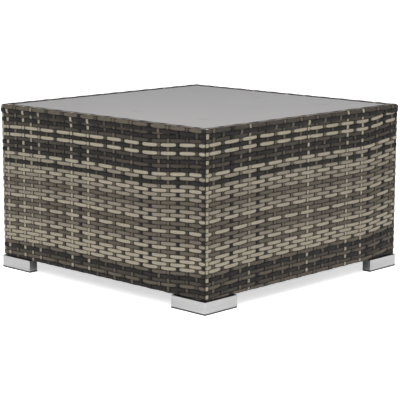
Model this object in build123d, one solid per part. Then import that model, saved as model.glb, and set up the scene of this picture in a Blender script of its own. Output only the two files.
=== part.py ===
# Square woven coffee table: a welded tube frame inside a woven skin of flat strands, a loose glass top
# lying in the rim on soft bumpers, and four L-shaped feet, each a moulded core with an aluminium trim.
# Millimetres, +Z up, origin on the floor under the centre of the table; the front looks along -Y.
import os

from build123d import *

os.makedirs("parts", exist_ok=True)

# ---- driving dimensions -------------------------------------------------------------------------
side = 600.0  # over the flat woven faces
height = 354.0  # floor to the crest of the woven rim

weave = 3.0  # thickness of the woven skin on the frame
corner_round = 6.0  # outer radius of the skin round a corner post
rim_bulge = 2.0  # how far the doubled wrap of the rim stands out of the faces
rim_height = 19.0  # height of that doubled wrap
rim_crest_round = 5.0  # rounding of the rim's outer top edge
rim_inner_round = 2.0  # rounding of the rim's inner top edge
rim_foot_round = 1.5  # rounding of the rim's outer bottom edge
rim_lip = 5.5  # how far the skin turns down inside the top rails
hem_lip = 10.0  # how far the skin turns up inside the bottom rails

rail_width = 12.0  # rectangular tube of the eight rails, across the rim
rail_height = 20.0
post_tube = 20.0  # square tube of the corner posts and glass bearers
upright_tube = 12.0  # lighter square tube in the middle of each side
tube_wall = 1.2
tube_round = 2.0

glass_thickness = 5.0
glass_gap = 1.5  # between the glass edge and the woven rim, all round
glass_recess = 1.5  # glass below the rim's crest
glass_corner = 4.0
glass_arris = 0.8

bearer_offset = 185.0  # centre of the table to each glass bearer
bumper_radius = 11.0
bumper_height = 2.5
bumper_edge = 0.6
bumper_stem_radius = 3.0
bumper_stem_length = 4.0
bumper_stem_clearance = 0.1
bumper_clearance = 0.3  # under the glass
bumper_inset = 99.0  # end of a bearer to its outer bumpers

foot_height = 26.0
foot_leg = 90.0  # length of each leg of the L
foot_width = 20.0  # width of each leg of the L
foot_overhang = 1.0  # foot beyond the woven faces
foot_wall = 2.5
foot_flange = 3.0  # dark base that shows under the trim
trim_thickness = 1.0
trim_drop = 1.0  # core showing above the trim
trim_bend = 1.5  # outer radius of the trim's upright corner

screw_radius = 2.0
screw_length = 30.0
screw_head_radius = 4.2
screw_head_height = 2.8
screw_head_edge = 1.1  # rounding of the head
screw_point = 3.2  # length of the point
screw_tip_radius = 0.4
screw_recess_radius = 1.6
screw_recess_width = 0.8
screw_recess_depth = 1.2
screw_seat = 6.0  # depth of the counterbore from the floor side
screw_along = 64.0  # outer corner of the foot to each screw
screw_clearance = 0.25  # round the screw in the core
pilot_clearance = 0.05  # round the screw in the tube wall
weave_hole_clearance = 0.6
cut_over = 1.0  # how far a cutting shape runs past the face it opens
boss_wall = 3.2  # round the counterbore, wide enough to run into the leg's walls
counterbore_clearance = 0.6

# ---- places that follow from them ---------------------------------------------------------------
frame_side = side - 2 * weave
hem_z = foot_height
bottom_rail_z = hem_z + weave
top_rail_z = height - weave - rail_height
post_z = bottom_rail_z + rail_height
post_length = top_rail_z - post_z
rail_inner = frame_side - 2 * rail_width
recess_side = rail_inner - 2 * weave
rim_z = height - rim_height
glass_side = recess_side - 2 * glass_gap
glass_top_z = height - glass_recess
glass_bottom_z = glass_top_z - glass_thickness
bearer_top_z = glass_bottom_z - bumper_clearance - bumper_height
bumper_y = rail_inner / 2 - bumper_inset
foot_outer = side / 2 + foot_overhang
screw_line = (frame_side - rail_width) / 2  # the screws go up the middle of the bottom rails
screw_end = foot_outer - screw_along
counterbore_radius = screw_head_radius + counterbore_clearance
boss_radius = counterbore_radius + boss_wall

FACES = {"front": 0, "right": 90, "back": 180, "left": 270}  # turn about Z from the front face
CORNERS = {"front_left": 0, "front_right": 90, "back_right": 180, "back_left": 270}


def turned(shape, degrees):
    return Rot(0, 0, degrees) * shape


def block(size, radius, low, high):
    """A centred square block with rounded uprights between two heights."""
    return Pos(0, 0, low) * extrude(RectangleRounded(size, size, radius), high - low)


def square_block(size, low, high):
    """The same block with sharp uprights."""
    return Pos(0, 0, (low + high) / 2) * Box(size, size, high - low)


def cylinder(radius, x, y, low, high):
    return Pos(x, y, (low + high) / 2) * Cylinder(radius, high - low)


def tubing(x_size, y_size, length):
    """A rectangular tube along Z, standing on the origin."""
    outer = RectangleRounded(x_size, y_size, tube_round)
    inner = RectangleRounded(x_size - 2 * tube_wall, y_size - 2 * tube_wall, tube_round - tube_wall)
    return extrude(outer - inner, length)


def front_quarter():
    """Everything in front of the two diagonals, which mitres whatever it is intersected with."""
    reach = side
    corner = Polygon((0, 0), (-reach, -reach), (reach, -reach), align=None)
    return Pos(0, 0, -height) * extrude(corner, 3 * height)


def front_screws():
    """The screw axes under the front rail: one leg of each of its two feet."""
    return [(x, -screw_line) for x in (-screw_end, screw_end)]


def front_rail(low):
    """A mitred rail of the front face with its underside at a height."""
    start = Pos(-frame_side / 2, -(frame_side - rail_width) / 2, low + rail_height / 2)
    rail = start * Rot(0, 90, 0) * tubing(rail_height, rail_width, frame_side)
    return rail & front_quarter()


def bottom_rail():
    rail = front_rail(bottom_rail_z)
    for x, y in front_screws():
        middle = bottom_rail_z + rail_height / 2
        rail -= cylinder(screw_radius + pilot_clearance, x, y, bottom_rail_z - cut_over, middle)
    return rail


def corner_post():
    at = (frame_side - post_tube) / 2
    return Pos(-at, -at, post_z) * tubing(post_tube, post_tube, post_length)


def side_upright():
    at = (frame_side - upright_tube) / 2
    return Pos(0, -at, post_z) * tubing(upright_tube, upright_tube, post_length)


def woven_skin():
    """The whole skin: faces, rim and hem, wrapped round the four rails."""
    faces = block(side, corner_round, hem_z, height - rim_height / 2)
    rim = block(side + 2 * rim_bulge, corner_round + rim_bulge, rim_z, height)
    rim = fillet(rim.edges().group_by(Axis.Z)[-1], rim_crest_round)
    rim = fillet(rim.edges().group_by(Axis.Z)[0], rim_foot_round)
    skin = faces + rim
    skin -= square_block(frame_side, bottom_rail_z, height - weave)
    lips = block(rail_inner, tube_round, height - weave - rim_lip, height - weave)
    lips += block(rail_inner, tube_round, bottom_rail_z, bottom_rail_z + hem_lip)
    skin += lips
    skin -= block(recess_side, tube_round, hem_z - cut_over, height + cut_over)
    inner_crest = [
        edge
        for edge in skin.edges().group_by(Axis.Z)[-1]
        if max(abs(edge.center().X), abs(edge.center().Y)) < recess_side / 2 + 0.01
    ]
    return fillet(inner_crest, rim_inner_round)


def woven_side(skin):
    """The front quarter of the skin, mitred where it meets its neighbours, with holes for the foot screws."""
    panel = skin & front_quarter()
    for x, y in front_screws():
        panel -= cylinder(screw_radius + weave_hole_clearance, x, y, hem_z - cut_over, bottom_rail_z + cut_over)
    return panel


def glass_bearer():
    """The right-hand rail under the glass, with a hole in its top wall for each bumper's stem."""
    middle = bearer_top_z - post_tube / 2
    bearer = Pos(bearer_offset, rail_inner / 2, middle) * Rot(90, 0, 0)
    bearer = bearer * tubing(post_tube, post_tube, rail_inner)
    hole = bumper_stem_radius + bumper_stem_clearance
    for y in (-bumper_y, 0, bumper_y):
        bearer -= cylinder(hole, bearer_offset, y, middle, bearer_top_z + cut_over)
    return bearer


def glass_bumper():
    """A soft disc with a stem, standing at the origin on the bearer's top face."""
    disc = Pos(0, 0, bumper_height / 2) * Cylinder(bumper_radius, bumper_height)
    disc = chamfer(disc.edges().filter_by(GeomType.CIRCLE), bumper_edge)
    return disc + cylinder(bumper_stem_radius, 0, 0, -bumper_stem_length, 0.1)


def glass_top():
    plate = block(glass_side, glass_corner, glass_bottom_z, glass_top_z)
    rims = plate.edges().group_by(Axis.Z)
    return chamfer(rims[0] + rims[-1], glass_arris)


def ell(inset, width, low, high, end_inset=0.0):
    """An L in plan along the front-left corner: its outer faces inset from the foot's, its legs a width."""
    low_edge = -foot_outer + inset
    far = -foot_outer + foot_leg - end_inset
    points = [
        (low_edge, low_edge),
        (far, low_edge),
        (far, low_edge + width),
        (low_edge + width, low_edge + width),
        (low_edge + width, far),
        (low_edge, far),
    ]
    return Pos(0, 0, low) * extrude(Polygon(*points, align=None), high - low)


def foot_screw_axes():
    """The two screw axes of the front-left foot."""
    return [(-screw_end, -screw_line), (-screw_line, -screw_end)]


def foot_core():
    """Front-left moulded foot: a base flange, hollow legs open to the rail, and a boss for each screw."""
    core = ell(0, foot_width, 0, foot_flange)
    body_width = foot_width - trim_thickness
    core += ell(trim_thickness, body_width, foot_flange, foot_height, trim_thickness)
    hollow = ell(
        trim_thickness + foot_wall,
        body_width - 2 * foot_wall,
        foot_flange,
        foot_height + cut_over,
        trim_thickness + foot_wall,
    )
    for x, y in foot_screw_axes():
        hollow -= cylinder(boss_radius, x, y, 0, foot_height + 2 * cut_over)
    core -= hollow
    for x, y in foot_screw_axes():
        core -= cylinder(screw_radius + screw_clearance, x, y, -cut_over, foot_height + cut_over)
        core -= cylinder(counterbore_radius, x, y, -cut_over, screw_seat)
    return core


def foot_trim():
    """Front-left aluminium strip: both outer faces of the foot, folded over the ends of its legs."""
    low, high = foot_flange, foot_height - trim_drop
    skin = ell(0, trim_thickness, low, high)
    far = -foot_outer + foot_leg - trim_thickness / 2
    near = -foot_outer + foot_width / 2
    fold = Box(trim_thickness, foot_width, high - low)
    skin += Pos(far, near, (low + high) / 2) * fold
    skin += Pos(near, far, (low + high) / 2) * Rot(0, 0, 90) * fold
    uprights = skin.edges().filter_by(Axis.Z)
    outer_corner = max(uprights, key=lambda edge: -edge.center().X - edge.center().Y)
    return fillet([outer_corner], trim_bend)


def foot_screw():
    """A pan-head screw with a cross recess, its head's seat at the origin and its point upwards."""
    screw = cylinder(screw_head_radius, 0, 0, -screw_head_height, 0)
    screw = fillet(screw.edges().filter_by(GeomType.CIRCLE).group_by(Axis.Z)[0], screw_head_edge)
    screw += cylinder(screw_radius, 0, 0, 0, screw_length - screw_point)
    screw += Pos(0, 0, screw_length - screw_point / 2) * Cone(screw_radius, screw_tip_radius, screw_point)
    slot = Box(2 * screw_recess_radius, screw_recess_width, 2 * screw_recess_depth)
    for turn in (0, 90):
        screw -= Pos(0, 0, -screw_head_height) * Rot(0, 0, turn) * slot
    return screw


def write(shape, name):
    export_step(shape, f"parts/{name}.step")


skin = woven_skin()
panel = woven_side(skin)
top = front_rail(top_rail_z)
bottom = bottom_rail()
upright = side_upright()
for face, turn in FACES.items():
    write(turned(top, turn), f"top_rail_{face}")
    write(turned(bottom, turn), f"bottom_rail_{face}")
    write(turned(upright, turn), f"side_upright_{face}")
    write(turned(panel, turn), f"woven_side_{face}")

post = corner_post()
core = foot_core()
trim = foot_trim()
screws = Compound([Pos(x, y, screw_seat) * foot_screw() for x, y in foot_screw_axes()])
for corner, turn in CORNERS.items():
    write(turned(post, turn), f"corner_post_{corner}")
    write(turned(core, turn), f"foot_core_{corner}")
    write(turned(trim, turn), f"foot_trim_{corner}")
    write(turned(screws, turn), f"foot_screws_{corner}")

bearer = glass_bearer()
bumper = glass_bumper()
for name, turn, x in (("right", 0, bearer_offset), ("left", 180, -bearer_offset)):
    write(turned(bearer, turn), f"glass_bearer_{name}")
    row = [Pos(x, y, bearer_top_z) * bumper for y in (-bumper_y, 0, bumper_y)]
    write(Compound(row), f"glass_bumpers_{name}")

write(glass_top(), "glass_top")
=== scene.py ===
import math
import bpy
import numpy as np
from mathutils import Matrix, Vector


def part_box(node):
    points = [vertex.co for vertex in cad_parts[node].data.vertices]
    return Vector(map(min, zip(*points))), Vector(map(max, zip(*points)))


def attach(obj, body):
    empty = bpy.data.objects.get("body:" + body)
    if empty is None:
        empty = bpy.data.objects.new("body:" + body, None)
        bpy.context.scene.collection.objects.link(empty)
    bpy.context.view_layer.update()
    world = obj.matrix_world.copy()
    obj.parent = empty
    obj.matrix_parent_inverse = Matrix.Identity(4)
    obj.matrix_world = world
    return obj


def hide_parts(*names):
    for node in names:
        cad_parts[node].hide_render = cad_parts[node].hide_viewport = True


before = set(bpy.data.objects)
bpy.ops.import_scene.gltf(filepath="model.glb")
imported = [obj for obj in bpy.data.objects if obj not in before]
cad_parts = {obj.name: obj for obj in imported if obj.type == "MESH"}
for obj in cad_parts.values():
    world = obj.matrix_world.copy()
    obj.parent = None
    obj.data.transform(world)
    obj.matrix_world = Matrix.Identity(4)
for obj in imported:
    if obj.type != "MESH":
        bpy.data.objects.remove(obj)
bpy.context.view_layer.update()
mm = 0.001
# in the order the strands climb round, starting at the back right corner
sides = ["back", "left", "front", "right"]
print("frame is in")


def freshSelection():
    if bpy.context.mode != "OBJECT":
        bpy.ops.object.mode_set(mode="OBJECT")
    bpy.ops.object.select_all(action="DESELECT")


def makeActive(piece):
    freshSelection()
    piece.select_set(True)
    bpy.context.view_layer.objects.active = piece


def startPick(kind):
    bpy.ops.object.mode_set(mode="EDIT")
    bpy.ops.mesh.select_mode(type=kind)
    bpy.ops.mesh.select_all(action="DESELECT")
    bpy.ops.object.mode_set(mode="OBJECT")


def pickFaces(piece, test):
    # test gets a face's centre and normal
    startPick("FACE")
    for face in piece.data.polygons:
        face.select = bool(test(face.center, face.normal))
    bpy.ops.object.mode_set(mode="EDIT")


def pickEdges(piece, test):
    # test gets an edge's two ends
    startPick("EDGE")
    points = piece.data.vertices
    for edge in piece.data.edges:
        edge.select = bool(test(points[edge.vertices[0]].co, points[edge.vertices[1]].co))
    bpy.ops.object.mode_set(mode="EDIT")


def pickPoints(piece, test):
    startPick("VERT")
    for point in piece.data.vertices:
        point.select = bool(test(point.co))
    bpy.ops.object.mode_set(mode="EDIT")


def smoothStep(x):
    x = np.clip(x, 0.0, 1.0)
    return x * x * (3 - 2 * x)


faceLow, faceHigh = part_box("woven_side_front")
railLow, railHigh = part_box("top_rail_front")
hemZ, crestZ = faceLow.z, faceHigh.z

skin = {
    "thick": 3.0 * mm,  # strands over and under, together
    "rimProud": 1.8 * mm,  # the rim's wrap stands out of the face
    "rimHeight": 19 * mm,
    "crestRound": 4.6 * mm,
    "stepRound": 5 * mm,  # both bends of the step from the face out to the rim's wrap
    "stepRise": 3.5 * mm,
    "innerRound": 2.2 * mm,
    "hemRound": 2.6 * mm,
    "cornerRound": 4.6 * mm,  # in plan, round a post
    "lip": 6.5 * mm,  # down inside the rim
    "hemLip": 10 * mm,  # up inside the bottom rail
    "leastRound": 0.3 * mm,
    "easeFrom": 0.72,  # of the way to the mitre, where the strands start to fit the bend
}

half = skin["thick"] / 2
faceMid = -railLow.y + half  # middle of the skin, from the table's middle
rimMid = faceMid + skin["rimProud"]
innerMid = -railHigh.y - half
hemMid = hemZ + half
crestMid = crestZ - half


def roundedPath(corners, step=0.1 * mm, bendPoints=13):
    # corners are (distance out, height, radius); gives points evenly along the rounded line
    line = [np.array(corners[0][:2])]
    for before, at, after in zip(corners, corners[1:], corners[2:]):
        a, b, c = (np.array(p[:2]) for p in (before, at, after))
        u, v = (a - b) / np.linalg.norm(a - b), (c - b) / np.linalg.norm(c - b)
        turn = math.pi - math.acos(np.clip(u @ v, -1, 1))
        reach = at[2] * math.tan(turn / 2)
        for f in np.linspace(0, 1, bendPoints):  # a quadratic stretch is close to the arc here
            line.append(b + u * reach * (1 - f) ** 2 + v * reach * f**2)
    line.append(np.array(corners[-1][:2]))
    line = np.array(line)
    far = np.concatenate([[0], np.cumsum(np.linalg.norm(np.diff(line, axis=0), axis=1))])
    even = np.arange(0, far[-1], step)
    return even, np.interp(even, far, line[:, 0]), np.interp(even, far, line[:, 1])


pathT, pathOut, pathUp = roundedPath([
    (innerMid, hemZ + skin["hemLip"], 0),
    (innerMid, hemMid, skin["hemRound"]),
    (faceMid, hemMid, skin["hemRound"]),
    (faceMid, crestZ - skin["rimHeight"], skin["stepRound"]),
    (rimMid, crestZ - skin["rimHeight"] + skin["stepRise"], skin["stepRound"]),
    (rimMid, crestMid, skin["crestRound"]),
    (innerMid, crestMid, skin["innerRound"]),
    (innerMid, crestZ - skin["lip"], 0),
])
slopeOut, slopeUp = np.gradient(pathOut, pathT), np.gradient(pathUp, pathT)
straightZ = 200 * mm  # a height where the face is straight
straight = np.argmin(np.abs(pathUp - straightZ) + (pathOut < faceMid - 1 * mm))
faceStart = pathT[straight] - pathUp[straight]  # on the face, height + faceStart is the way along the path
pathEnd = pathT[-1]
stepT = crestZ - skin["rimHeight"] + faceStart  # where the face ends and the rim's wrap starts
hemT = hemZ + faceStart
crestT = crestZ - skin["crestRound"] + faceStart
sideHalf = faceMid - skin["cornerRound"] + skin["cornerRound"] * math.pi / 4  # centre of a side to its mitre


def onSkin(along, t, n):
    # along runs left to right round the whole table, t up the path and over the rim, n outwards
    out = np.interp(t, pathT, pathOut)
    up = np.interp(t, pathT, pathUp)
    tilt = np.interp(t, pathT, slopeUp)
    lean = np.interp(t, pathT, slopeOut)
    size = np.hypot(tilt, lean)
    out = out + n * tilt / size
    up = up - n * lean / size
    side = np.floor(along / (2 * sideHalf))
    q = along - (2 * side + 1) * sideHalf
    radius = np.maximum(skin["cornerRound"] + out - faceMid, skin["leastRound"])
    centre = out - radius
    room = centre + radius * math.pi / 4
    near = np.abs(q)
    ease = skin["easeFrom"]
    near = near + (room - sideHalf) * smoothStep((near / sideHalf - ease) / (1 - ease))
    bend = np.maximum(near - centre, 0) / radius
    x = np.where(near < centre, near, centre + radius * np.sin(bend)) * np.sign(q)
    y = -np.where(near < centre, out, centre + radius * np.cos(bend))
    angle = (side - 2) * math.pi / 2
    cos, sin = np.cos(angle), np.sin(angle)
    return np.stack([x * cos - y * sin, x * sin + y * cos, up], axis=-1)


weave = {
    "perSide": 25,
    "warpPitch": 25.15 * mm,
    "warpEnd": 293.3 * mm,  # middle of a side to its outermost uprights
    "rowPitch": 7.98 * mm,
    "firstRow": 1.05,  # rows from the crest down to row 0 where a climb starts
    "rowsAbove": 4,  # rows tried above row 0, for the side where the climb starts lower
    "climbRows": 2,  # rows gained along one side
    "earlyRise": 0.34,  # the share of the climb that is gained first
    "earlyOver": 0.4,  # the share of a side's length in which that is done
    "lateRise": (0.76, 0.72, 0.80, 0.76),  # where along each side the rest of the climb starts
    "sway": ((0.35, 21, 0.16), (0.2, 47, 0.27)),  # mm high, how fast along a row, shift from row to row
    "rimSway": ((0.15, 33, 2.1),),
    "width": 8.5 * mm,  # a little over the row pitch, so that the rows press together
    "thickWeft": 1.3 * mm,
    "thickWarp": 1.15 * mm,
    "crowns": (0.18 * mm, 0.13 * mm),  # in the middle of a strand's width, and halfway to its edge
    "weftSwing": 0.95 * mm,
    "warpSwing": 0.34 * mm,
    "cover": 3.7 * mm,  # how much of each end of a float is hidden under the strand across it
    "endZone": 10 * mm,  # the part of a row's float with painted shade toward its hidden end
    "warpEndZone": 4 * mm,
    # how strong the painted shade is at the ends of an upright's floats
    "warpEndShade": 0.5,
    "pathStart": 3 * mm,  # no row's middle is nearer to the path's start
    "faceStop": 1 * mm,  # below the step: the uprights count no rows of the face above this
    "faceRun": 7 * mm,  # above the step: the face's rows go on this far behind the rim's
    "tuck": 1.8 * mm,  # how deep behind the rim's rows they lie there
    "tuckFrom": 2 * mm,  # below the step
    "tuckOver": 6 * mm,
    "warpMargin": 0.2 * mm,  # from both ends of the path
    "rimRows": 5,
    "rimPitch": 7.7 * mm,
    "rimFirst": 341.3 * mm,  # height of the rim's lowest row
    "calm": 0.45,  # of the swing is left round the hem and the crest
    "hemCalm": 12 * mm,  # how far from the hem the swing is calmed
    "crestCalm": 6 * mm,
}

# charcoal, dark, brown, grey brown, sand and cream
toneOf = {"k": 0.0, "d": 0.2, "b": 0.4, "g": 0.55, "s": 0.8, "c": 1.0}
lots = np.random.RandomState(12)
mixedCount = 13
mixedTones = "".join(lots.choice(list("bbgsc"), mixedCount))
# bands of rows from the crest down: how many rows, and the tones they take by turns
rowBands = [
    (5, "dk"), (3, "ck"), (4, "dk"),  # a dark head with two pale rows in it
    (2, "cs"), (1, "k"), (2, "sc"),  # two pale pairs
    (mixedCount, mixedTones),
    (3, "cb"), (3, "c"),  # pale rows low down
    (15, "bkd"),  # the dark foot
]
rowTones = "".join((tones * count)[:count] for count, tones in rowBands)
# the rim's rows, from the face to the crest
rimTones = {"left": "kbgkd", "front": "kdbkd", "right": "kdbkd", "back": "kkdkd"}
uprightShares = {"k": 0.2, "d": 0.26, "b": 0.3, "s": 0.12, "c": 0.12}


def drawUprights():
    # a cream one at the corner, and lots for the rest, about one in four of them pale
    drawn = lots.choice(list(uprightShares), weave["perSide"] - 1, p=list(uprightShares.values()))
    return "c" + "".join(drawn)


warpTones = {name: drawUprights() for name in sides}


def warpAlong(p):
    # the place of upright p, counted round the table
    side, k = divmod(p, weave["perSide"])
    middle = (2 * side + 1) * sideHalf
    last = weave["perSide"] - 1
    if k in (0, last):
        return middle + (weave["warpEnd"] if k else -weave["warpEnd"])
    return middle + (k - last / 2) * weave["warpPitch"]


def climb(along):
    side = np.floor(along / (2 * sideHalf))
    x = along / (2 * sideHalf) - side
    late = np.take(weave["lateRise"], side.astype(int) % 4)
    early = 1 - (1 - np.minimum(x / weave["earlyOver"], 1)) ** 2
    rest = smoothStep((x - late) / (1 - late))
    rise = weave["earlyRise"] * early + (1 - weave["earlyRise"]) * rest
    return (side - 1 + rise) * weave["climbRows"] * weave["rowPitch"]


def swayAt(parts, row, along):
    return sum(high * np.sin(along * fast + row * shift) for high, fast, shift in parts) * mm


def rowT(row, along):
    # how far up the path a row of the face runs
    level = crestZ - weave["rowPitch"] * (row + weave["firstRow"])
    return level + climb(along) + swayAt(weave["sway"], row, along) + faceStart


def rimT(row, along):
    return weave["rimFirst"] + row * weave["rimPitch"] + faceStart + swayAt(weave["rimSway"], row, along)


print("strand layout is ready, skin path", round(pathEnd * 1000, 1), "mm long")


# one float of a strand goes over one crossing, and under the next on both sides
def modelFloat(name, steps, thick, swing):
    width = weave["width"]
    freshSelection()
    bpy.ops.mesh.primitive_cube_add(size=2)
    piece = bpy.context.object
    piece.name = name
    bpy.ops.object.mode_set(mode="EDIT")
    bpy.ops.transform.resize(value=(1, width / 2, thick / 2))
    pickFaces(piece, lambda c, n: abs(n.x) > 0.9)
    bpy.ops.mesh.delete(type="ONLY_FACE")
    pickEdges(piece, lambda a, b: abs(a.x - b.x) > 0.5)
    bpy.ops.mesh.subdivide(number_cuts=2 * steps - 1)
    pickEdges(piece, lambda a, b: a.z > 0 and b.z > 0 and abs(a.y - b.y) > width / 2)
    bpy.ops.mesh.subdivide(number_cuts=3)
    pickEdges(piece, lambda a, b: a.z < 0 and b.z < 0 and abs(a.y - b.y) > width / 2)
    bpy.ops.mesh.subdivide(number_cuts=1)
    pickEdges(piece, lambda a, b: (a.z > 0 and b.z > 0
                                   and abs(a.y + b.y) > 0.9 * width and abs(a.x - b.x) > 0.01))
    bpy.ops.mesh.bevel(offset=thick * 0.5, segments=2)
    for y, crown in zip((0, width / 4), weave["crowns"]):
        pickPoints(piece, lambda co, y=y: co.z > 0 and abs(abs(co.y) - y) < 0.1 * mm)
        bpy.ops.transform.translate(value=(0, 0, crown))
    for ring in range(-steps, steps + 1):
        x = ring / steps
        wave = math.cos(math.pi * x)
        pickPoints(piece, lambda co, x=x: abs(co.x - x) < 0.01)
        bpy.ops.transform.translate(value=(0, 0, swing * wave))
    bpy.ops.object.mode_set(mode="OBJECT")
    return piece


def readFloat(piece, thick, swing):
    mesh = piece.data
    points = np.array([v.co for v in mesh.vertices])
    faces = [list(f.vertices) for f in mesh.polygons]
    behind = np.array([f.normal.z < -0.5 for f in mesh.polygons])
    lift = swing * np.cos(np.pi * points[:, 0])
    level = points[:, 2] - lift
    around = 1 - np.arctan2(level + thick / 2 + 1e-7, points[:, 1]) / math.pi
    bpy.data.objects.remove(piece)
    bpy.data.meshes.remove(mesh)
    return {"points": points, "faces": faces, "behind": behind, "around": around, "lift": lift}


def makeFloat(name, steps, thick, swing):
    return readFloat(modelFloat(name, steps, thick, swing), thick, swing)


weftFloat = makeFloat("weftFloat", 5, weave["thickWeft"], weave["weftSwing"])
warpFloat = makeFloat("warpFloat", 3, weave["thickWarp"], weave["warpSwing"])
print("floats have", len(weftFloat["faces"]), "and", len(warpFloat["faces"]), "faces")


def spread(x, low, middle, high):
    return np.where(x < 0, middle + x * (middle - low), middle + x * (high - middle))


# the bake map has one lane for each strand; a pair is where something starts, and its size
bakeArea = {
    "along": (0.005, 0.98),
    "front": (0.02, 0.68),  # across a lane
    "back": (0.73, 0.25),
    "ends": 0.993,  # the small faces at the floats' ends, past the lanes
    "endSize": 0.003,
}


def joinFloats(name, laid, model):
    # laid holds each float's places (along, t, n), tone, strand number, way along, and nearness to its ends
    # for the painted shade there
    points = np.concatenate([item["places"] for item in laid])
    count = len(model["points"])
    faces = [[i + count * k for i in face] for k in range(len(laid)) for face in model["faces"]]
    mesh = bpy.data.meshes.new(name)
    mesh.from_pydata(onSkin(points[:, 0], points[:, 1], points[:, 2]), [], faces)
    for attribute, key in (("tone", "tone"), ("strandNumber", "strand"), ("toEnd", "toEnd")):
        values = np.concatenate([np.broadcast_to(item[key], count) for item in laid]).astype(float)
        mesh.attributes.new(attribute, "FLOAT", "POINT").data.foreach_set("value", values)
    corner = np.array([i for face in model["faces"] for i in face])
    hidden = np.repeat(model["behind"], [len(face) for face in model["faces"]])
    strands = max(item["strand"] for item in laid) + 1
    low = min(item["way"].min() for item in laid)
    high = max(item["way"].max() for item in laid)
    y = model["points"][corner, 1]
    start, length = bakeArea["along"]
    frontStart, frontWidth = bakeArea["front"]
    backStart, backWidth = bakeArea["back"]
    across = np.where(hidden, backStart + backWidth * (y / weave["width"] + 0.5),
                      frontStart + frontWidth * model["around"][corner])
    strandMap, bakeMap = [], []
    for item in laid:
        way = item["way"][corner]
        strandMap.append(np.stack([way, y], axis=-1))
        lane = (item["strand"] + across) / strands
        bakeMap.append(np.stack([start + length * (way - low) / (high - low), lane], axis=-1))
    mesh.uv_layers.new(name="strand").data.foreach_set("uv", np.concatenate(strandMap).ravel())
    mesh.uv_layers.new(name="OFBake").data.foreach_set("uv", np.concatenate(bakeMap).ravel())
    piece = bpy.data.objects.new(name, mesh)
    bpy.context.scene.collection.objects.link(piece)
    makeActive(piece)
    bpy.ops.object.mode_set(mode="EDIT")
    bpy.ops.mesh.select_all(action="SELECT")
    bpy.ops.mesh.remove_doubles(threshold=0.01 * mm)
    before = len(faces)
    bpy.ops.mesh.select_all(action="SELECT")
    bpy.ops.mesh.fill_holes(sides=0)
    bpy.ops.object.mode_set(mode="OBJECT")
    bake = mesh.uv_layers["OFBake"].data
    for face in mesh.polygons[before:]:  # the ends, which lie under an upright
        for i, loop in enumerate(face.loop_indices):
            turn = 2 * math.pi * i / len(face.loop_indices)
            bake[loop].uv = (bakeArea["ends"] + bakeArea["endSize"] * math.cos(turn),
                             0.5 + bakeArea["endSize"] * math.sin(turn))
    bpy.ops.object.shade_smooth()
    mesh.uv_layers.active = mesh.uv_layers["strand"]
    mesh.uv_layers["strand"].active_render = True
    return piece


def calmed(model, t):
    # what to take off a float's height where the skin bends, so that the hem and the crest run straight
    clear = smoothStep((t - hemT) / weave["hemCalm"]) * smoothStep((crestT - t) / weave["crestCalm"])
    return model["lift"] * (1 - clear) * (1 - weave["calm"])


def nearEnd(way, low, middle, high, zone):
    # 1 where the strands across a float start to hide its ends, 0 where its painted shade starts
    shows = np.where(way < middle, middle - low, high - middle) - weave["cover"]
    return 1 + (np.abs(way - middle) - shows) / zone


def weftOver(p, row, wayUp, tuck, tone, strand):
    # a row's float over upright p; wayUp is rowT or rimT
    points = weftFloat["points"]
    before, at, after = warpAlong(p - 1), warpAlong(p), warpAlong(p + 1)
    along = spread(points[:, 0], before, at, after)
    up = wayUp(row, along) + points[:, 1]
    sunk = tuck * smoothStep((up - stepT + weave["tuckFrom"]) / weave["tuckOver"])
    places = np.stack([along, up, points[:, 2] - sunk - calmed(weftFloat, up)], axis=-1)
    return {"places": places, "tone": tone, "strand": strand, "way": along,
            "toEnd": nearEnd(along, before, at, after, weave["endZone"])}


def layWefts(side):
    laid = []
    uprights = range(side * weave["perSide"], (side + 1) * weave["perSide"])
    strand = 0
    lowest, highest = weave["pathStart"], stepT + weave["faceRun"]
    for row in range(-weave["rowsAbove"], len(rowTones)):
        tone = toneOf[rowTones[row] if row >= 0 else "d"]
        over = [p for p in uprights if (p + row) % 2 == 0 and lowest < rowT(row, warpAlong(p)) < highest]
        laid += [weftOver(p, row, rowT, weave["tuck"], tone, strand) for p in over]
        strand += bool(over)
    for row in range(weave["rimRows"]):
        tone = toneOf[rimTones[sides[side]][row]]
        laid += [weftOver(p, row, rimT, 0, tone, strand) for p in uprights if (p + row) % 2 == 1]
        strand += 1
    return joinFloats("weft_" + sides[side], laid, weftFloat)


def crossingsOf(p):
    # up the path along upright p: the way up, and whether the weft is over there
    at = warpAlong(p)
    crossings = []
    for row in range(len(rowTones), -weave["rowsAbove"] - 1, -1):
        t = float(rowT(row, at))
        if weave["pathStart"] < t < stepT - weave["faceStop"]:
            crossings.append((t, (p + row) % 2 == 0))
    for row in range(weave["rimRows"]):
        over = (p + row) % 2 == 1
        if crossings[-1][1] == over:
            crossings.pop()  # a longer float where the face's rows meet the rim's out of step
        crossings.append((float(rimT(row, at)), over))
    crossings.insert(0, (-2 * mm, not crossings[0][1]))
    crossings.append((pathEnd + 1 * mm, not crossings[-1][1]))
    return crossings


def layWarps(side):
    laid = []
    points = warpFloat["points"]
    margin = weave["warpMargin"]
    for k, letter in enumerate(warpTones[sides[side]]):
        p = side * weave["perSide"] + k
        crossings = crossingsOf(p)
        for (low, _), (middle, over), (high, _) in zip(crossings, crossings[1:], crossings[2:]):
            if over:
                continue  # a warp's float lies where the weft is under
            ups = np.clip(spread(points[:, 0], low, middle, high), margin, pathEnd - margin)
            out = points[:, 2] - calmed(warpFloat, ups)
            places = np.stack([warpAlong(p) - points[:, 1], ups, out], axis=-1)
            # painted shade toward the ends of the upright's float
            ending = weave["warpEndShade"] * nearEnd(ups, low, middle, high, weave["warpEndZone"])
            laid.append({"places": places, "tone": toneOf[letter], "strand": k, "way": ups, "toEnd": ending})
    return joinFloats("warp_" + sides[side], laid, warpFloat)


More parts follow.
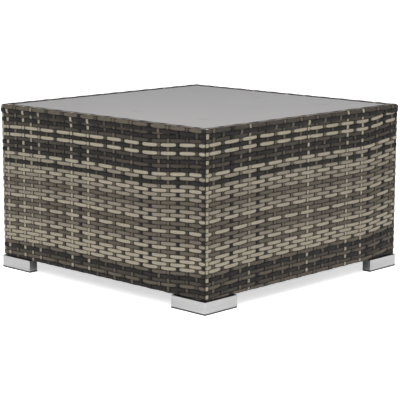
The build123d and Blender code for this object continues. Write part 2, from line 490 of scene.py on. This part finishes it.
def newMaterial(name):
    material = bpy.data.materials.new(name)
    material.use_nodes = True
    tree = material.node_tree
    shader = tree.nodes["Principled BSDF"]
    return material, tree, shader


def node(tree, kind, **values):
    made = tree.nodes.new(kind)
    for key, value in values.items():
        if key in made.inputs:
            made.inputs[key].default_value = value
        else:
            setattr(made, key, value)
    return made


def mathNode(tree, operation, a, b=None):
    made = tree.nodes.new("ShaderNodeMath")
    made.operation = operation
    for socket, value in zip(made.inputs, (a, b)):
        if value is None:
            continue
        if isinstance(value, (int, float)):
            socket.default_value = value
        else:
            tree.links.new(value, socket)
    return made.outputs[0]


def rampNode(tree, factor, stops, interpolation="LINEAR"):
    made = tree.nodes.new("ShaderNodeValToRGB")
    made.color_ramp.interpolation = interpolation
    while len(made.color_ramp.elements) < len(stops):
        made.color_ramp.elements.new(0.5)
    for element, (place, colour) in zip(made.color_ramp.elements, stops):
        element.position = place
        element.color = (*colour, 1) if len(colour) == 3 else colour
    tree.links.new(factor, made.inputs["Fac"])
    return made


def mixColours(tree, way, factor, a, b):
    made = tree.nodes.new("ShaderNodeMix")
    made.data_type = "RGBA"
    made.blend_type = way
    for socket, value in ((made.inputs[0], factor), (made.inputs[6], a), (made.inputs[7], b)):
        if isinstance(value, (int, float)):
            socket.default_value = value
        elif isinstance(value, tuple):
            socket.default_value = (*value, 1)
        else:
            tree.links.new(value, socket)
    return made.outputs[2]


def noise(tree, vector, scale, detail, **values):
    made = node(tree, "ShaderNodeTexNoise", Scale=scale, Detail=detail, **values)
    tree.links.new(vector, made.inputs["Vector"])
    return made.outputs["Fac"]


def objectPlace(tree):
    return node(tree, "ShaderNodeTexCoord").outputs["Object"]


def colourBy(tree, shader, factor, stops):
    tree.links.new(rampNode(tree, factor, stops).outputs["Color"], shader.inputs["Base Color"])


def bumpBy(tree, shader, height, strength, depth):
    bump = node(tree, "ShaderNodeBump", Strength=strength, Distance=depth)
    tree.links.new(height, bump.inputs["Height"])
    tree.links.new(bump.outputs[0], shader.inputs["Normal"])


def roughBy(tree, shader, factor, least, more):
    rough = mathNode(tree, "ADD", least, mathNode(tree, "MULTIPLY", factor, more))
    tree.links.new(rough, shader.inputs["Roughness"])


strandLook = {
    "charcoal": (0.0185, 0.0170, 0.0155),
    "dark": (0.059, 0.050, 0.040),
    "brown": (0.115, 0.096, 0.074),
    "greyBrown": (0.163, 0.141, 0.112),
    "sand": (0.266, 0.236, 0.186),
    "cream": (0.380, 0.339, 0.263),
    "drift": 0.22,  # the slow change of tone along a strand
    "driftScale": (9.0, 7.31),  # along it, and from strand to strand
    "streakScale": (60.0, 1900.0, 3.7),  # along it, across it, and from strand to strand
    "streaks": ((0.70, 0.69, 0.67), (1.15, 1.15, 1.15)),
    "showing": 3.6 * mm,  # half the width that shows between two creases
    "creaseFrom": 0.45,  # where the painted shade of a crease starts and is full
    "creaseFull": 0.98,
    # what the painted crease shade leaves of the colour
    "paintedCreaseShade": 0.2,
    "ribs": 1.15 * mm,  # from one rib along the strand to the next
    "ribDepth": 0.5,
    "bump": (0.35, 0.12 * mm),
    "rough": (0.38, 0.16),  # the least, and how much more with the streaks
    "specular": 0.18,
}


def strandMaterial():
    look = strandLook
    material, tree, shader = newMaterial("strand")
    link = tree.links.new
    tone, number, ending = (node(tree, "ShaderNodeAttribute", attribute_name=name).outputs["Fac"]
                            for name in ("tone", "strandNumber", "toEnd"))
    flat = node(tree, "ShaderNodeUVMap", uv_map="strand")
    parts = node(tree, "ShaderNodeSeparateXYZ")
    link(flat.outputs[0], parts.inputs[0])
    along, across = parts.outputs[0], parts.outputs[1]

    def scaledPlace(values, scales):
        place = node(tree, "ShaderNodeCombineXYZ")
        for socket, value, scale in zip(place.inputs, values, scales):
            link(mathNode(tree, "MULTIPLY", value, scale), socket)
        return place.outputs[0]

    # slow changes of tone along each strand, and fine streaks drawn out along it
    slow = noise(tree, scaledPlace((along, number), look["driftScale"]), 1.0, 2.0)
    streak = noise(tree, scaledPlace((along, across, number), look["streakScale"]), 1.0, 3.0, Roughness=0.6)
    drift = mathNode(tree, "MULTIPLY", mathNode(tree, "SUBTRACT", slow, 0.5), look["drift"])
    shade = rampNode(tree, mathNode(tree, "ADD", tone, drift), [
        (0.0, look["charcoal"]), (0.2, look["dark"]), (0.4, look["brown"]),
        (0.58, look["greyBrown"]), (0.8, look["sand"]), (1.0, look["cream"])])
    dim, bright = look["streaks"]
    streaks = rampNode(tree, streak, [(0.3, dim), (0.7, bright)])
    colour = mixColours(tree, "MULTIPLY", 1.0, shade.outputs["Color"], streaks.outputs["Color"])
    # painted shade in the creases, at the strand's edges and where it dives under another
    tip = mathNode(tree, "POWER", mathNode(tree, "MAXIMUM", ending, 0.0), 3.0)
    outward = mathNode(tree, "ABSOLUTE", mathNode(tree, "DIVIDE", across, look["showing"]))
    edge = mathNode(tree, "POWER", outward, 2.0)
    low = look["paintedCreaseShade"]
    paintedShadeStops = [(look["creaseFrom"], (1.0, 1.0, 1.0)), (look["creaseFull"], (low, low * 0.97, low * 0.94))]
    crease = rampNode(tree, mathNode(tree, "ADD", tip, edge), paintedShadeStops, "EASE")
    colour = mixColours(tree, "MULTIPLY", 1.0, colour, crease.outputs["Color"])
    link(colour, shader.inputs["Base Color"])
    # lengthwise ribs and a little drawn grain
    wave = mathNode(tree, "SINE", mathNode(tree, "MULTIPLY", across, 2 * math.pi / look["ribs"]))
    height = mathNode(tree, "ADD", mathNode(tree, "MULTIPLY", wave, look["ribDepth"]), streak)
    bumpBy(tree, shader, height, *look["bump"])
    roughBy(tree, shader, streak, *look["rough"])
    shader.inputs["Specular IOR Level"].default_value = look["specular"]
    return material


# finishes with slow patches of colour and a fine grain; a noise is its scale and detail
mottledLooks = {
    "powderCoat": {
        "grain": (2600.0, 2.0), "patches": (14.0, 4.0),
        "dark": (0.030, 0.030, 0.032), "pale": (0.044, 0.043, 0.045),
        "bump": (0.25, 0.15 * mm), "rough": (0.38, 0.2),
    },
    "footPlastic": {
        "grain": (1500.0, 3.0), "patches": (40.0, 3.0),
        "dark": (0.012, 0.012, 0.013), "pale": (0.022, 0.022, 0.024),
        "bump": (0.3, 0.1 * mm), "rough": (0.55, 0.12),
    },
    "bumperSilicone": {
        "grain": (1500.0, 3.0), "patches": (40.0, 3.0),
        "dark": (0.10, 0.10, 0.105), "pale": (0.13, 0.13, 0.135),
        "bump": (0.3, 0.1 * mm), "rough": (0.35, 0.12),
    },
}


def mottledMaterial(name):
    look = mottledLooks[name]
    material, tree, shader = newMaterial(name)
    place = objectPlace(tree)
    grain = noise(tree, place, *look["grain"])
    colourBy(tree, shader, noise(tree, place, *look["patches"]), [(0.35, look["dark"]), (0.65, look["pale"])])
    bumpBy(tree, shader, grain, *look["bump"])
    roughBy(tree, shader, grain, *look["rough"])
    return material


glassLook = {
    "patches": (3.0, 2.0),
    "dark": (0.225, 0.220, 0.221),
    "pale": (0.243, 0.238, 0.239),
    "grain": (900.0, 2.0),
    "bumperRadius": 11 * mm,
    "discReach": 20 * mm,
    "disc": 0.85,  # what the painted dark discs over the bumpers leave of the colour
    # painted light across the glass: its colour is scaled along this slope
    "slope": (-1.25, -1.25, 0),
    "paintedLightShades": [(0.0, (0.96, 0.95, 0.96)), (0.5, (1.02, 1.01, 1.01)), (1.0, (1.13, 1.11, 1.10))],
    "rough": (0.30, 0.1),
    "ior": 1.5,
}


def glassMaterial():
    look = glassLook
    material, tree, shader = newMaterial("satinGlass")
    place = objectPlace(tree)
    shade = rampNode(tree, noise(tree, place, *look["patches"]), [(0.3, look["dark"]), (0.7, look["pale"])])
    fine = noise(tree, place, *look["grain"])
    # painted shade: the bumpers under the satin face are painted on it as faint dark discs, for how they show
    # through
    nearest = None
    for bumpers in ("glass_bumpers_left", "glass_bumpers_right"):
        low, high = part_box(bumpers)
        for y in (low.y + look["bumperRadius"], 0.0, high.y - look["bumperRadius"]):
            away = node(tree, "ShaderNodeVectorMath", operation="DISTANCE")
            away.inputs[1].default_value = ((low.x + high.x) / 2, y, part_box("glass_top")[1].z)
            tree.links.new(place, away.inputs[0])
            out = away.outputs["Value"]
            nearest = out if nearest is None else mathNode(tree, "MINIMUM", nearest, out)
    paintedDiscStops = [(0.35, (look["disc"],) * 3), (0.8, (1.0, 1.0, 1.0))]
    disc = rampNode(tree, mathNode(tree, "DIVIDE", nearest, look["discReach"]), paintedDiscStops, "EASE")
    colour = mixColours(tree, "MULTIPLY", 1.0, shade.outputs["Color"], disc.outputs["Color"])
    # painted light: the satin is painted a touch darker toward the back right corner and paler toward the
    # front left
    slope = node(tree, "ShaderNodeVectorMath", operation="DOT_PRODUCT")
    slope.inputs[1].default_value = look["slope"]
    tree.links.new(place, slope.inputs[0])
    paintedLight = rampNode(tree, mathNode(tree, "ADD", slope.outputs["Value"], 0.5), look["paintedLightShades"])
    colour = mixColours(tree, "MULTIPLY", 1.0, colour, paintedLight.outputs["Color"])
    tree.links.new(colour, shader.inputs["Base Color"])
    roughBy(tree, shader, fine, *look["rough"])
    shader.inputs["IOR"].default_value = look["ior"]
    return material


trimLook = {
    "drawn": (12, 12, 2600),  # fine up the trim, long along it
    "dark": (0.56, 0.56, 0.565),
    "pale": (0.70, 0.70, 0.70),
    "bump": (0.12, 0.05 * mm),
    "rough": (0.26, 0.18),
}


def trimMaterial():
    # aluminium brushed along the foot's legs
    look = trimLook
    material, tree, shader = newMaterial("brushedAluminium")
    drawn = node(tree, "ShaderNodeMapping")
    drawn.inputs["Scale"].default_value = look["drawn"]
    tree.links.new(objectPlace(tree), drawn.inputs["Vector"])
    lines = noise(tree, drawn.outputs[0], 1.0, 3.0)
    colourBy(tree, shader, lines, [(0.3, look["dark"]), (0.7, look["pale"])])
    shader.inputs["Metallic"].default_value = 1.0
    roughBy(tree, shader, lines, *look["rough"])
    bumpBy(tree, shader, lines, *look["bump"])
    return material


zincLook = {
    "patches": (420.0, 3.0),
    "dark": (0.50, 0.50, 0.47),
    "pale": (0.68, 0.67, 0.62),
    "rough": (0.28, 0.2),
}


def zincMaterial():
    look = zincLook
    material, tree, shader = newMaterial("zinc")
    cloud = noise(tree, objectPlace(tree), *look["patches"])
    colourBy(tree, shader, cloud, [(0.3, look["dark"]), (0.7, look["pale"])])
    shader.inputs["Metallic"].default_value = 1.0
    roughBy(tree, shader, cloud, *look["rough"])
    return material


def dress(nodeName, material):
    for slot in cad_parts[nodeName].material_slots:
        slot.material = material


strand = strandMaterial()
coat = mottledMaterial("powderCoat")
finishes = {
    "top_rail": coat, "bottom_rail": coat, "side_upright": coat, "corner_post": coat, "glass_bearer": coat,
    "glass_top": glassMaterial(),
    "foot_trim": trimMaterial(),
    "foot_core": mottledMaterial("footPlastic"),
    "foot_screws": zincMaterial(),
    "glass_bumpers": mottledMaterial("bumperSilicone"),
}
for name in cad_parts:
    for start, material in finishes.items():
        if name.startswith(start):
            dress(name, material)
print("materials are on")

for side, sideName in enumerate(sides):
    weft = layWefts(side)
    warp = layWarps(side)
    for piece in (weft, warp):
        piece.data.materials.append(strand)
        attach(piece, "table")
    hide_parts("woven_side_" + sideName)
    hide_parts("woven_side_" + sideName)
    print(weft.name, len(weft.data.polygons), "faces,", warp.name, len(warp.data.polygons), "faces")


floorLook = {
    "size": 30,
    "colour": (0.92, 0.92, 0.92, 1),
    "roughness": 0.9,
    "glowReach": 2.0,
    # painted light on the floor: its own glow to the eye, low under the table as a painted shadow
    "glow": [(0.055, (0.03,) * 3), (0.1, (0.62,) * 3), (0.24, (0.72,) * 3), (1.0, (0.8,) * 3)],
}


def addFloor():
    freshSelection()
    bpy.ops.mesh.primitive_plane_add(size=floorLook["size"], location=(0, 0, 0))
    floor = bpy.context.object
    floor.name = "floor"
    material, tree, shader = newMaterial("paleFloor")
    shader.inputs["Base Color"].default_value = floorLook["colour"]
    shader.inputs["Roughness"].default_value = floorLook["roughness"]
    shader.inputs["Emission Color"].default_value = (1.0, 1.0, 1.0, 1)
    # painted light: to the eye the floor glows by itself, with a painted shadow under the middle of the
    # table, and runs to white away from it
    path = node(tree, "ShaderNodeLightPath")
    away = node(tree, "ShaderNodeVectorMath", operation="LENGTH")
    tree.links.new(objectPlace(tree), away.inputs[0])
    far = mathNode(tree, "DIVIDE", away.outputs["Value"], floorLook["glowReach"])
    glow = rampNode(tree, far, floorLook["glow"], "EASE")
    seen = mathNode(tree, "MULTIPLY", path.outputs["Is Camera Ray"], glow.outputs["Color"])
    tree.links.new(seen, shader.inputs["Emission Strength"])
    floor.data.materials.append(material)


lights = {
    "keyLeft": {"place": (-2.6, -1.4, 2.2), "size": (2.2, 1.6), "power": 41, "aim": (0, 0, 0.17)},
    "keyRight": {"place": (1.4, -2.8, 2.0), "size": (2.2, 1.6), "power": 10, "aim": (0, 0, 0.17)},
    "topSoft": {"place": (-0.45, -0.45, 2.6), "size": (2.4, 2.4), "power": 46, "aim": (0, 0, 0.17)},
    # sheen on the glass
    "backCard": {"place": (1.9, 1.8, 1.6), "size": (2.4, 0.8), "power": 3, "aim": (0, 0, 0.3)},
}


def addLight(name, place, size, power, aim):
    data = bpy.data.lights.new(name, "AREA")
    data.shape = "RECTANGLE"
    data.size, data.size_y = size
    data.energy = power
    lamp = bpy.data.objects.new(name, data)
    bpy.context.scene.collection.objects.link(lamp)
    lamp.location = place
    lamp.rotation_euler = (Vector(aim) - Vector(place)).to_track_quat("-Z", "Y").to_euler()


worldStrength = 0.49


def addWorld():
    # the backdrop is white to the eye, and the room round it is dimmer
    world = bpy.data.worlds.new("studio")
    world.use_nodes = True
    tree = world.node_tree
    back = tree.nodes["Background"]
    back.inputs["Color"].default_value = (1.0, 1.0, 1.0, 1)
    path = node(tree, "ShaderNodeLightPath")
    seen = mathNode(tree, "MULTIPLY", path.outputs["Is Camera Ray"], 1.0 - worldStrength)
    tree.links.new(mathNode(tree, "ADD", seen, worldStrength), back.inputs["Strength"])
    bpy.context.scene.world = world


cameraSetting = {
    "azimuth": -46.4, "elevation": 10.25, "roll": 0.175,  # degrees
    "lens": 130.6, "sensor": 36, "distance": 3.125, "aimUp": 0.1452, "aimRight": 0.0002,
}


def addCamera():
    a, e = math.radians(cameraSetting["azimuth"]), math.radians(cameraSetting["elevation"])
    back = Vector((math.sin(a) * math.cos(e), -math.cos(a) * math.cos(e), math.sin(e)))
    right = Vector((math.cos(a), math.sin(a), 0))
    up = back.cross(right)
    roll = math.radians(cameraSetting["roll"])
    turnedRight = right * math.cos(roll) + up * math.sin(roll)
    turnedUp = up * math.cos(roll) - right * math.sin(roll)
    aim = right * cameraSetting["aimRight"] + Vector((0, 0, cameraSetting["aimUp"]))
    place = aim + back * cameraSetting["distance"]
    data = bpy.data.cameras.new("camera")
    data.lens = cameraSetting["lens"]
    data.sensor_width = cameraSetting["sensor"]
    data.clip_start, data.clip_end = 0.05, 60
    camera = bpy.data.objects.new("camera", data)
    bpy.context.scene.collection.objects.link(camera)
    turn = Matrix((turnedRight, turnedUp, back)).transposed().to_4x4()
    camera.matrix_world = Matrix.Translation(place) @ turn
    bpy.context.scene.camera = camera


addFloor()
addWorld()
for name, settings in lights.items():
    addLight(name, **settings)
addCamera()
bpy.context.scene.view_settings.view_transform = "Standard"
print("stage is set")
